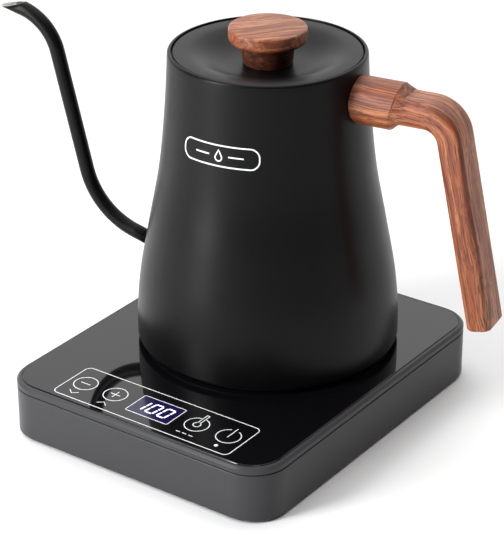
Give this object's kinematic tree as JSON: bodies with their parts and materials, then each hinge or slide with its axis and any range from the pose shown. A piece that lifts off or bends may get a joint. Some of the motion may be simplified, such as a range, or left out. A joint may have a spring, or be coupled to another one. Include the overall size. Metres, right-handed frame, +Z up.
{
  "type": "gooseneck kettle",
  "caption": "Gooseneck pour-over kettle with wooden handle and lid knob, on a square cordless heating base with touch panel and display.",
  "frame": {"origin": "on the kettle's vertical axis, at the height of the worktop", "axes": "+X along the control panel towards the handle side, +Y towards the back of the base, +Z up"},
  "size_m": [0.2674, 0.1912, 0.1925],
  "materials": {
    "powder_coat": "satin",
    "steel": "brushed",
    "bright_steel": "satin",
    "screw_steel": "satin",
    "aluminium": "satin",
    "brass": "polished",
    "nickel": "polished",
    "wood": "oiled",
    "base_grey": "satin",
    "black_glass": "polished",
    "black_plastic": "matte",
    "grey_plastic": "matte",
    "blue_plastic": "gloss",
    "rubber": "matte",
    "silicone": "matte",
    "circuit_board": "matte",
    "display_lens": "gloss",
    "lead_sleeve": "matte"
  },
  "bodies": {
    "base": {"base_housing": "base_grey", "top_frame": "base_grey", "glass_top": "black_glass", "base_bottom_cover": "black_plastic", "rubber_feet": "rubber", "base_cover_screws": "screw_steel", "base_connector": "black_plastic", "base_contacts": "brass", "power_board": "circuit_board", "control_board": "circuit_board", "board_screws": "screw_steel", "display_module": "display_lens", "touch_springs": "screw_steel", "relay": "blue_plastic", "transformer": "grey_plastic", "capacitor": "black_plastic", "buzzer": "black_plastic", "terminal_blocks": "grey_plastic", "mains_leads": "lead_sleeve", "connector_leads": "lead_sleeve", "cord_gland": "rubber"},
    "connector": {"kettle_connector": "black_plastic", "kettle_contacts": "nickel"},
    "kettle": {"kettle_shell": "powder_coat", "spout": "powder_coat", "mouth_ring": "steel", "vessel_floor": "steel", "heat_spreader": "aluminium", "heating_element": "bright_steel", "temperature_sensor": "bright_steel", "sensor_seal": "silicone", "thermal_cutout": "black_plastic", "bottom_seal": "silicone", "bottom_cover": "black_plastic", "bottom_cover_screws": "screw_steel", "handle": "wood", "handle_bracket": "steel", "handle_screw": "screw_steel"},
    "lid": {"lid_dish": "powder_coat", "lid_skirt": "steel", "lid_gasket": "silicone", "lid_knob": "wood", "knob_washer": "bright_steel", "knob_screw": "screw_steel"}
  },
  "joints": [
    {"name": "kettle_lift", "type": "slide", "parent": "base", "child": "connector", "axis": [0, 0, 1], "range_m": [0, 0.15]},
    {"name": "kettle_swivel", "type": "hinge", "parent": "connector", "child": "kettle", "pos_m": [0, 0, 0.0335], "axis": [0, 0, 1], "continuous": true},
    {"name": "lid_lift", "type": "slide", "parent": "kettle", "child": "lid", "axis": [0, 0, 1], "range_m": [0, 0.12]}
  ]
}
